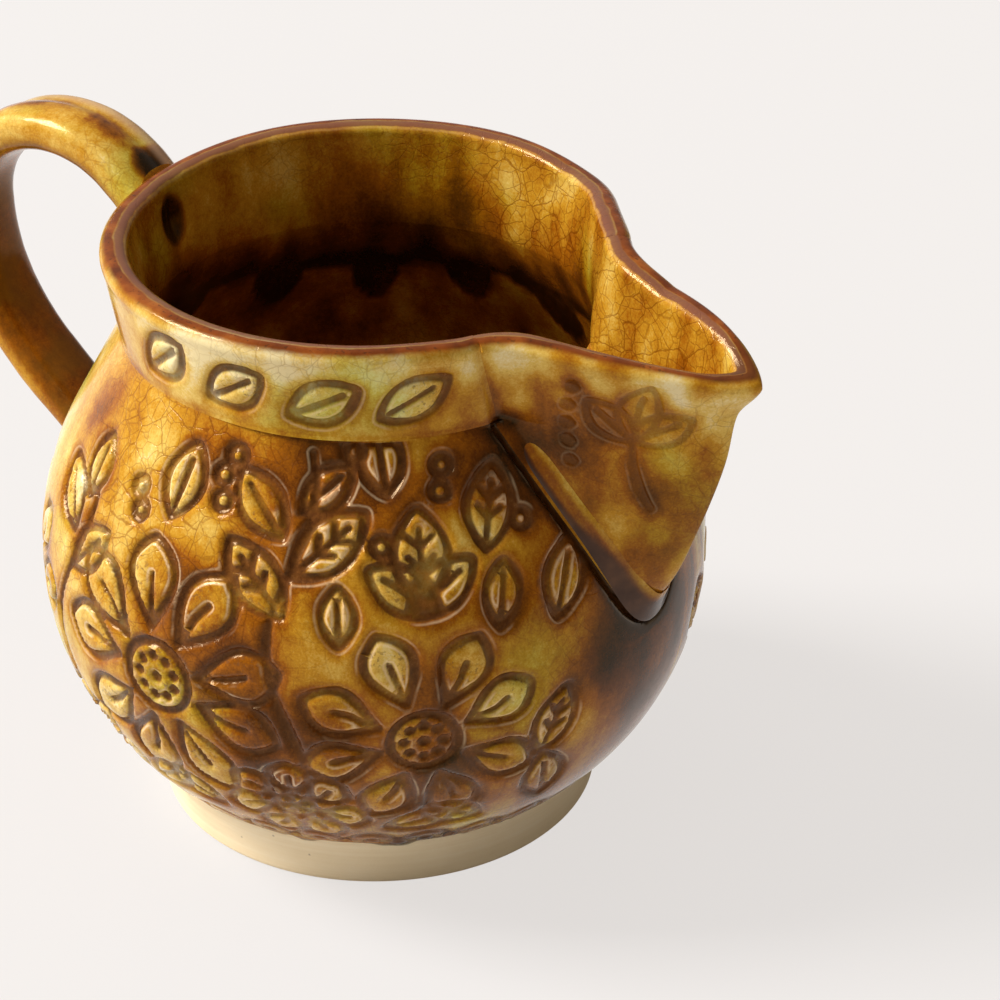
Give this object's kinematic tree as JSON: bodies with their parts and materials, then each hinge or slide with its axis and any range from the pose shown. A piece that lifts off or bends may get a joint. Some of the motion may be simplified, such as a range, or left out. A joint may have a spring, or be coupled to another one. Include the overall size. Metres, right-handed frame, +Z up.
{
  "type": "cream jug",
  "caption": "Small round-bellied stoneware cream jug with a flaring collar, a folded beak spout, a looped strap handle and a bare foot ring, for pouring cream or milk.",
  "frame": {"origin": "centre of the foot ring, on the plane it stands on", "axes": "+X along the spout, -X along the handle, +Z up out of the mouth, +Y completes a right-handed frame"},
  "size_m": [0.1468, 0.0998, 0.0965],
  "materials": {
    "bare_clay": "bare buff stoneware, matte",
    "base_clay": "dark brown glaze inside, bare clay below",
    "belly_glaze": "glossy amber glaze pooled dark brown in a pressed relief",
    "collar_glaze": "glossy amber glaze with a rust-brown rim",
    "spout_glaze": "glossy amber to brown glaze",
    "seam_glaze": "glossy dark pooled glaze",
    "handle_glaze": "glossy amber glaze with brown pooling",
    "handle_joint_glaze": "glossy dark pooled glaze"
  },
  "bodies": {
    "root": {"foot_ring": "bare_clay", "base_disc": "base_clay", "belly": "belly_glaze", "collar": "collar_glaze", "spout": "spout_glaze", "spout_seam_coil": "seam_glaze", "handle": "handle_glaze", "handle_top_coil": "handle_joint_glaze", "handle_foot_coil": "handle_joint_glaze"}
  },
  "joints": []
}
